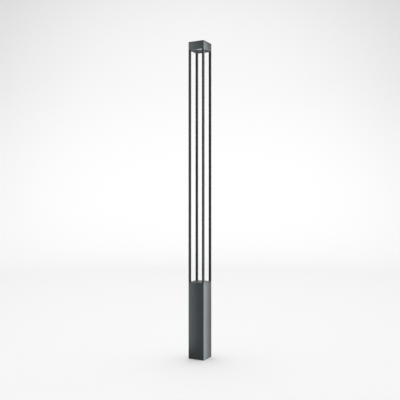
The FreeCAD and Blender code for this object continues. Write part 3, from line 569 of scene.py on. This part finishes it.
def screw_set(node, slot, kind, thread, axis, head_height, threaded=100.0):
    """Replace a node's screws. Lengths in millimetres. The axis is the way that the heads face."""
    places = solid_boxes(node)
    low, high = places[0]
    along = 1 if axis == REAR else 2
    head = high.x - low.x
    length = high[along] - low[along]
    pattern = one_screw(kind, thread * MM, head, length, PITCHES[thread] * MM, head_height * MM, threaded * MM)
    mesh = bmesh.new()
    for low, high in places:
        before = len(mesh.verts)
        mesh.from_mesh(pattern)
        mesh.verts.ensure_lookup_table()
        top = (low + high) / 2
        top[along] = high[along] if axis == REAR else low[along]
        move_to(mesh, mesh.verts[before:], top, axis)
    bpy.data.meshes.remove(pattern)
    finish_piece(node + "_turned", mesh, slot, node)


class BOLLARD_OT_outdoor_screws(Operator):
    """Turn the stainless screws and tie rods, with sockets and threads"""
    bl_idname = "bollard.outdoor_screws"
    bl_label = "Stainless Screws"

    def execute(self, context):
        screw_set("column_screws", "stainless_steel", "countersunk", 5.0, REAR, 0.2)
        screw_set("deck_screws", "stainless_steel", "countersunk", 4.0, REAR, 0.2)
        screw_set("bezel_screws", "stainless_steel", "countersunk", 3.0, DOWN, 0.2)
        screw_set("tie_rods", "stainless_steel", "countersunk", 4.0, DOWN, 0.4, threaded=14.0)
        screw_set("lid_screws", "stainless_steel", "pan", 3.0, DOWN, 1.8)
        screw_set("board_screws", "stainless_steel", "pan", 2.0, DOWN, 1.2)
        screw_set("terminal_clamp_screws", "stainless_steel", "grub", 3.0, REAR, 0.9)
        return {"FINISHED"}


class BOLLARD_OT_gear_screws(Operator):
    """Turn the zinc-plated screws that hold the gear"""
    bl_idname = "bollard.gear_screws"
    bl_label = "Gear Screws"

    def execute(self, context):
        screw_set("tray_screws", "zinc_plated_steel", "pan", 4.0, DOWN, 2.4)
        screw_set("driver_screws", "zinc_plated_steel", "pan", 3.0, REAR, 2.0)
        screw_set("terminal_fixing_screws", "zinc_plated_steel", "pan", 3.0, REAR, 2.0)
        screw_set("earth_screw", "zinc_plated_steel", "pan", 4.0, REAR, 2.4)
        return {"FINISHED"}


# LED module

class BOLLARD_OT_led_packages(Operator):
    """Build the LED packages with their phosphor domes, and the tracks between them"""
    bl_idname = "bollard.led_packages"
    bl_label = "LED Packages"

    def execute(self, context):
        cup_wall, cup_depth, cup_edge = 0.35 * MM, 0.3 * MM, 0.12 * MM
        dome = sizes().dome_radius
        dome_height = 0.28 * MM
        cups = bmesh.new()
        domes = bmesh.new()
        places = solid_boxes("led_chips")
        for low, high in places:
            push_face(cups, lowest_face(block(cups, low, high)), cup_wall, cup_depth)
            middle = (low + high) / 2
            middle.z = low.z + cup_depth
            shape = Matrix.Translation(middle) @ Matrix.Diagonal((dome, dome, dome_height, 1))
            ball = bmesh.ops.create_uvsphere(domes, u_segments=20, v_segments=10, radius=1, matrix=shape)["verts"]
            faces = list({face for point in ball for face in point.link_faces})
            edges = list({edge for point in ball for edge in point.link_edges})
            cut = bmesh.ops.bisect_plane(domes, geom=ball + edges + faces, plane_co=middle, plane_no=UP,
                                         dist=WELD / 10, clear_outer=True)
            rim = [item for item in cut["geom_cut"] if isinstance(item, bmesh.types.BMEdge)]
            bmesh.ops.edgeloop_fill(domes, edges=rim)
        soften(cups, cups.verts, cup_edge)
        finish_piece("led_packages", cups, "board_white", "led_chips")
        finish_piece("led_domes", domes, "led_phosphor")

        # Copper areas under the mask: from package to package in each row, and two that join the rows
        tracks = bmesh.new()
        face_z = places[0][1].z
        pitch = sizes().led_pitch
        half_wide, half_long, half_join = 1.1 * MM, 2.3 * MM, 5.0 * MM
        raised, edge = 0.12 * MM, 0.05 * MM
        for row in (-1, 0, 1):
            for column in (-1, 0):
                x = (column + 0.5) * pitch
                soft_block(tracks, (x - half_long, row * pitch - half_wide, face_z - raised),
                           (x + half_long, row * pitch + half_wide, face_z), edge)
        for side, row in ((1, -0.5), (-1, 0.5)):
            x = side * (pitch + 3.0 * MM)
            soft_block(tracks, (x - half_wide, row * pitch - half_join, face_z - raised),
                       (x + half_wide, row * pitch + half_join, face_z), edge)
        finish_piece("led_board_tracks", tracks, "board_white")
        return {"FINISHED"}


class BOLLARD_OT_diffuser(Operator):
    """Build the stepped opal lens that stands in the bezel's window"""
    bl_idname = "bollard.diffuser"
    bl_label = "Opal Lens"

    def execute(self, context):
        rounding = 0.45 * MM
        mesh = bmesh.new()
        push_face(mesh, lowest_face(block(mesh, *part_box("lens"))), sizes().lens_rim, -sizes().lens_rise)
        soften(mesh, mesh.verts, rounding, segments=3)
        finish_piece("lens_satin", mesh, "opal_acrylic", "lens")
        return {"FINISHED"}


# Seals and gear

class BOLLARD_OT_grommet(Operator):
    """Turn the ribbed rubber grommet of the cable entry"""
    bl_idname = "bollard.grommet"
    bl_label = "Cable Grommet"

    def execute(self, context):
        low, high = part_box("cable_grommet")
        foot, top = low[2], high[2]
        wide = (high[0] - low[0]) / 2
        waist = wide - 2 * MM
        bore = 5 * MM
        lip = sizes().grommet_lip
        edge = 0.35 * MM
        groove = bore + 0.6 * MM
        outline = [(bore + edge, foot), (wide - edge, foot), (wide, foot + edge), (wide, foot + lip),
                   (waist, foot + lip), (waist, top - lip), (wide, top - lip), (wide, top - edge),
                   (wide - edge, top), (bore + edge, top)]
        ribs = 4
        rise = (top - foot - 2 * edge) / ribs
        for rib in range(ribs):
            height = top - edge - rib * rise
            outline += [(bore, height), (bore, height - 0.35 * rise),
                        (groove, height - 0.5 * rise), (groove, height - 0.85 * rise)]
        outline.append((bore, foot + edge))
        mesh = bmesh.new()
        turn(mesh, outline, 48, closed=True)
        finish_piece("cable_grommet_ribbed", mesh, "black_epdm", "cable_grommet")
        return {"FINISHED"}


def boot_outline(inner, outer, tall):
    """Half outline of a strain relief with three rings that narrow upwards. Radii in millimetres."""
    collar, ring_gap = 0.2, 0.25
    narrowing, waist = outer - inner - 0.3, 0.25
    outline = [(inner * MM, 0), (outer * MM, 0), (outer * MM, collar * tall)]
    for ring in range(3):
        share = collar + ring_gap * ring
        radius = outer - narrowing * share
        outline += [(radius * MM, (share + 0.05) * tall), ((radius - waist) * MM, (share + 0.12) * tall),
                    ((radius - waist) * MM, (share + 0.2) * tall)]
    return outline + [(inner * MM, tall)]


class BOLLARD_OT_gear_details(Operator):
    """Add ribs, boots and a blank label to the driver, funnels and ribs to the terminals"""
    bl_idname = "bollard.gear_details"
    bl_label = "Gear Details"

    def execute(self, context):
        low, high = map(Vector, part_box("led_driver"))
        ear = 8 * MM
        case_low, case_high = low.z + ear, high.z - ear
        mesh = bmesh.new()
        grip_half, grip_proud, grip_margin, grip_edge = 0.5 * MM, 0.5 * MM, 6 * MM, 0.15 * MM
        first_grip, grip_pitch = 5 * MM, 3 * MM
        for side in (low.x, high.x):
            for number in range(5):
                y = low.y + first_grip + number * grip_pitch
                soft_block(mesh, (side - grip_proud, y - grip_half, case_low + grip_margin),
                           (side + grip_proud, y + grip_half, case_high - grip_margin), grip_edge)
        # Place, way up or down, and inner and outer radius of each boot, in millimetres
        boots = [((-5, 5, case_high / MM), 1, 1.4, 3.0), ((-8, -3, case_low / MM), -1, 1.0, 2.0),
                 ((0, -3, case_low / MM), -1, 1.0, 2.0)]
        for place, way, inner, outer in boots:
            boot = turn(mesh, boot_outline(inner, outer, 5 * MM), 24, closed=True)
            move_to(mesh, boot, [value * MM for value in place], (0, 0, way))
        finish_piece("driver_ribs_and_boots", mesh, "driver_case")

        label = bmesh.new()
        half_wide, margin = 14 * MM, 12 * MM
        soft_block(label, (-half_wide, high.y - 0.1 * MM, case_low + margin),
                   (half_wide, high.y + 0.15 * MM, case_high - margin), 0.08 * MM)
        finish_piece("driver_blank_label", label, "board_white")

        low, high = map(Vector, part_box("terminal_block"))
        mesh = bmesh.new()
        pitch = sizes().pole_pitch
        rib_half, rib_proud, rib_edge = 0.5 * MM, 0.9 * MM, 0.2 * MM
        for number in (-1.5, -0.5, 0.5, 1.5):
            x = number * pitch
            soft_block(mesh, (x - rib_half, high.y - 0.2 * MM, low.z + 1 * MM),
                       (x + rib_half, high.y + rib_proud, high.z - 1 * MM), rib_edge)
        middle = (low.y + high.y) / 2
        mouth = [(radius * MM, height * MM) for radius, height in
                 ((1.4, -0.5), (2.6, -0.5), (2.6, 0.5), (2.2, 0.9), (1.9, 0.9), (1.4, 0.2))]
        for pole in (-1, 0, 1):
            for z, way in ((high.z, 1), (low.z, -1)):
                move_to(mesh, turn(mesh, mouth, 24, closed=True), (pole * pitch, middle, z), (0, 0, way))
        finish_piece("terminal_ribs_and_funnels", mesh, "polyamide")
        return {"FINISHED"}


class BOLLARD_OT_connector(Operator):
    """Build the latched connector between the LED cable and its leads"""
    bl_idname = "bollard.connector"
    bl_label = "LED Connector"

    def execute(self, context):
        low, high = map(Vector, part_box("cable_connector"))
        half = (high.z - low.z) / 2
        end, side = 6 * MM, 4 * MM
        # Lowest and highest corner, then the width of the rounding, for each half and its trim
        socket = (-end, -side, -half), (-0.15 * MM, side, half - 0.6 * MM), 0.6 * MM
        plug = ((0.15 * MM, -side + 0.5 * MM, -half + 0.4 * MM),
                (end, side - 0.5 * MM, half - 1.0 * MM), 0.6 * MM)
        tongue = ((-1 * MM, -side + 1 * MM, -half + 0.8 * MM),
                  (1 * MM, side - 1 * MM, half - 1.4 * MM), 0.2 * MM)
        latch = (-3.5 * MM, -1.4 * MM, half - 0.8 * MM), (3.5 * MM, 1.4 * MM, half), 0.3 * MM
        mesh = bmesh.new()
        for shape in (socket, plug, tongue, latch):
            soft_block(mesh, *shape)
        for number in range(4):
            x = (-5 + 0.9 * number) * MM
            soft_block(mesh, (x - 0.2 * MM, -side + 1 * MM, half - 0.8 * MM),
                       (x + 0.2 * MM, side - 1 * MM, half - 0.3 * MM), 0.1 * MM)
        place = Matrix.Translation((low + high) / 2) @ Matrix.Rotation(math.radians(-45), 4, "Z")
        bmesh.ops.transform(mesh, matrix=place, verts=mesh.verts)
        finish_piece("cable_connector_latched", mesh, "polyamide", "cable_connector")
        return {"FINISHED"}


# Stage

MIDDLE = (0, 0, 0.6)  # halfway up the bollard, in metres like everything on the stage
BOWL_RADIUS, BOWL_SWEEP, BOWL_TOP = 5.0, 2.0, 6.0
STRIP_WIDTH = 0.02
STRIP_SPREAD = math.radians(120)
SKY_ANGLE = math.radians(100)
WASH_ANGLE = math.radians(20)
BEAM_ANGLE = math.radians(27)
SENSOR_WIDTH = 36


def put(name, data, way, place=(0, 0, 0)):
    """An object in the scene that looks along a way."""
    holder = bpy.data.objects.new(name, data)
    holder.location = place
    holder.rotation_mode = "QUATERNION"
    holder.rotation_quaternion = way.to_track_quat("-Z", "Y")
    bpy.context.scene.collection.objects.link(holder)
    return holder


def area_light(name, size, watts, place, target, spread_angle=math.pi):
    """A rectangular lamp that the camera doesn't see."""
    lamp = bpy.data.lights.new(name, "AREA")
    lamp.shape = "RECTANGLE"
    lamp.size, lamp.size_y = size
    lamp.energy = watts
    lamp.spread = spread_angle
    holder = put(name, lamp, Vector(target) - Vector(place), place)
    holder.visible_camera = False
    return holder


def bowl():
    """Round studio floor that sweeps up into a wall all round."""
    mesh = bmesh.new()
    flat = BOWL_RADIUS - BOWL_SWEEP
    outline = [(0.0, 0.0), (flat, 0.0)]
    for step in range(1, 13):
        angle = math.pi / 2 * step / 12
        outline.append((flat + BOWL_SWEEP * math.sin(angle), BOWL_SWEEP - BOWL_SWEEP * math.cos(angle)))
    outline.append((BOWL_RADIUS, BOWL_TOP))
    points = [mesh.verts.new((r, 0, z)) for r, z in outline]
    edges = [mesh.edges.new(pair) for pair in zip(points, points[1:])]
    bmesh.ops.spin(mesh, geom=points + edges, cent=(0, 0, 0), axis=UP, angle=2 * math.pi, steps=96,
                   use_merge=True)
    bmesh.ops.remove_doubles(mesh, verts=mesh.verts, dist=10 * WELD)
    bmesh.ops.recalc_face_normals(mesh, faces=mesh.faces)
    bmesh.ops.reverse_faces(mesh, faces=mesh.faces)
    shape = bpy.data.meshes.new("studio_bowl")
    mesh.to_mesh(shape)
    mesh.free()
    shape.shade_smooth()
    return shape


class BOLLARD_OT_build_stage(Operator):
    """Set up the floor, the lights and the camera"""
    bl_idname = "bollard.build_stage"
    bl_label = "Build the Stage"

    def execute(self, context):
        stage = context.scene.bollard_stage
        pieces = [piece for piece in context.scene.objects if piece.type == "MESH"]
        # Paper: dead matt, so that no lamp leaves a sheen on it
        paper = new_finish("pale_paper", Roughness=0.9, Base_Color=stage.floor, Specular_IOR_Level=0.0)[0]
        floor = bpy.data.objects.new("studio_bowl", bowl())
        floor.data.materials.append(paper)
        context.scene.collection.objects.link(floor)
        for ray in ("diffuse", "glossy", "transmission", "shadow"):
            setattr(floor, "visible_" + ray, False)

        toward = Vector((math.sin(stage.azimuth), -math.cos(stage.azimuth), 0))
        right = Vector((math.cos(stage.azimuth), math.sin(stage.azimuth), 0))

        def studio(depth, aside, height):
            """A point from the object's axis: towards the camera, to the camera's right, and up."""
            return toward * depth + right * aside + UP * height

        def receivers(name, chosen):
            """The only things that a lamp shines on."""
            group = bpy.data.collections.new(name)
            for piece in chosen:
                group.objects.link(piece)
            return group

        def named(*starts):
            return [piece for piece in pieces if piece.name.startswith(starts)]

        # Each strip runs up one edge of the column. The posts are so thin that they take half of it
        all_pieces = receivers("lit_by_the_banks", pieces)
        boxes = receivers("lit_by_the_strips", [piece for piece in pieces if piece not in named("post")])
        right_post = receivers("lit_by_the_right_post_strip", named("post_front_right"))
        left_posts = receivers("lit_by_the_left_post_strip", named("post_front_left", "post_rear_left"))
        cap = receivers("lit_by_the_cap_fill", named("cap"))
        recess = receivers("lit_by_the_under_fill", named("cap", "lens_bezel"))
        paper_only = receivers("lit_by_the_backdrop_lights", [floor])
        right_edge, right_aim, right_size = (0.085, -0.036, 0.5875), (0.0, -0.02, 0.5875), (STRIP_WIDTH, 1.235)
        left_edge, left_aim, left_size = (-0.045, -0.085, 0.64), (-0.02, 0.0, 0.64), (STRIP_WIDTH, 1.22)
        lamps = [
            (area_light("right_bank", (1.6, 3.0), 8, studio(-1.75, 2.45, 1.0), MIDDLE), all_pieces),
            (area_light("right_strip", right_size, 2.1, right_edge, right_aim, STRIP_SPREAD), boxes),
            (area_light("left_strip", left_size, 0.48, left_edge, left_aim, STRIP_SPREAD), boxes),
            (area_light("right_post_strip", right_size, 1.0, right_edge, right_aim, STRIP_SPREAD), right_post),
            (area_light("left_post_strip", left_size, 0.24, left_edge, left_aim, STRIP_SPREAD), left_posts),
            (area_light("rear_fill", (1.5, 2.5), 27, (-1.6, 2.2, 1.2), MIDDLE), all_pieces),
            (area_light("under_fill", (0.02, 0.02), 0.11, (0, -0.005, 1.13), (0, 0, 1.2)), recess),
            (area_light("cap_fill", (0.2, 0.2), 0.6, (0.02, -0.35, 1.15), (0.01, 0, 1.19)), cap),
        ]
        for lamp, group in lamps:
            lamp.light_linking.receiver_collection = group
            lamp.visible_glossy = lamp.name == "right_bank"

        # A wide sun from above draws the soft shadow at the foot
        sky = bpy.data.lights.new("floor_sky", "SUN")
        sky.energy = stage.floor_sky
        sky.angle = SKY_ANGLE
        put("floor_sky", sky, toward * 0.6 - UP + right * 0.15).light_linking.receiver_collection = paper_only

        # An even wash, and a beam that makes the pool of light behind the object
        wash = bpy.data.lights.new("backdrop_wash", "SUN")
        wash.energy = stage.wash
        wash.angle = WASH_ANGLE
        wash.use_shadow = False
        put("backdrop_wash", wash, -toward - 0.12 * UP).light_linking.receiver_collection = paper_only
        beam = bpy.data.lights.new("backdrop_beam", "SPOT")
        beam.energy = stage.beam
        beam.spot_size = BEAM_ANGLE
        beam.spot_blend = 1
        beam.use_shadow = False
        place = studio(12, 0, 4)
        beamer = put("backdrop_beam", beam, studio(-4.2, 0, 0.9) - place, place)
        beamer.light_linking.receiver_collection = paper_only

        # The air is bright behind the object and dark in front, which gives the faces their even tone
        air = bpy.data.worlds.new("studio_air")
        air.use_nodes = True
        tree = air.node_tree
        background = tree.nodes["Background"]
        way = add_node(tree, "ShaderNodeTexCoord")
        front = add_node(tree, "ShaderNodeVectorMath", {"operation": "DOT_PRODUCT", 1: toward},
                         {0: way.outputs["Generated"]})
        strength = spread(tree, front.outputs["Value"], -1, 1, stage.sky_behind, stage.sky_in_front)
        tree.links.new(strength, background.inputs["Strength"])
        background.inputs["Color"].default_value = (1, 1, 1, 1)
        context.scene.world = air
        context.scene.view_settings.view_transform = "Standard"

        lens = bpy.data.cameras.new("camera")
        lens.sensor_width = SENSOR_WIDTH
        lens.lens = stage.focal
        context.scene.camera = put("camera", lens, -toward, studio(stage.distance, 0, stage.height))
        return {"FINISHED"}


# Panel and registration

OPERATORS = [
    BOLLARD_OT_dress_design,
    BOLLARD_OT_outdoor_screws,
    BOLLARD_OT_gear_screws,
    BOLLARD_OT_led_packages,
    BOLLARD_OT_diffuser,
    BOLLARD_OT_grommet,
    BOLLARD_OT_gear_details,
    BOLLARD_OT_connector,
    BOLLARD_OT_build_stage,
]


class BOLLARD_PT_sidebar(Panel):
    """Lists the settings and the pieces"""
    bl_idname = "BOLLARD_PT_sidebar"
    bl_label = "Bollard Light"
    bl_space_type = "VIEW_3D"
    bl_region_type = "UI"
    bl_category = "Bollard"

    def draw(self, context):
        layout = self.layout
        for operator in OPERATORS:
            layout.operator(operator.bl_idname)
        for group in (context.scene.bollard_sizes, context.scene.bollard_finishes, context.scene.bollard_stage):
            box = layout.box()
            for name in group.bl_rna.properties.keys():
                if name not in {"rna_type", "name"}:
                    box.prop(group, name)


CLASSES = [BollardFinishes, BollardSizes, BollardStage] + OPERATORS + [BOLLARD_PT_sidebar]


def register():
    for made in CLASSES:
        bpy.utils.register_class(made)
    bpy.types.Scene.bollard_finishes = PointerProperty(type=BollardFinishes)
    bpy.types.Scene.bollard_sizes = PointerProperty(type=BollardSizes)
    bpy.types.Scene.bollard_stage = PointerProperty(type=BollardStage)


def unregister():
    del bpy.types.Scene.bollard_stage
    del bpy.types.Scene.bollard_sizes
    del bpy.types.Scene.bollard_finishes
    for made in reversed(CLASSES):
        bpy.utils.unregister_class(made)


def main():
    register()
    for operator in OPERATORS:
        group, name = operator.bl_idname.split(".")
        getattr(getattr(bpy.ops, group), name)()


if __name__ == "__main__":
    main()
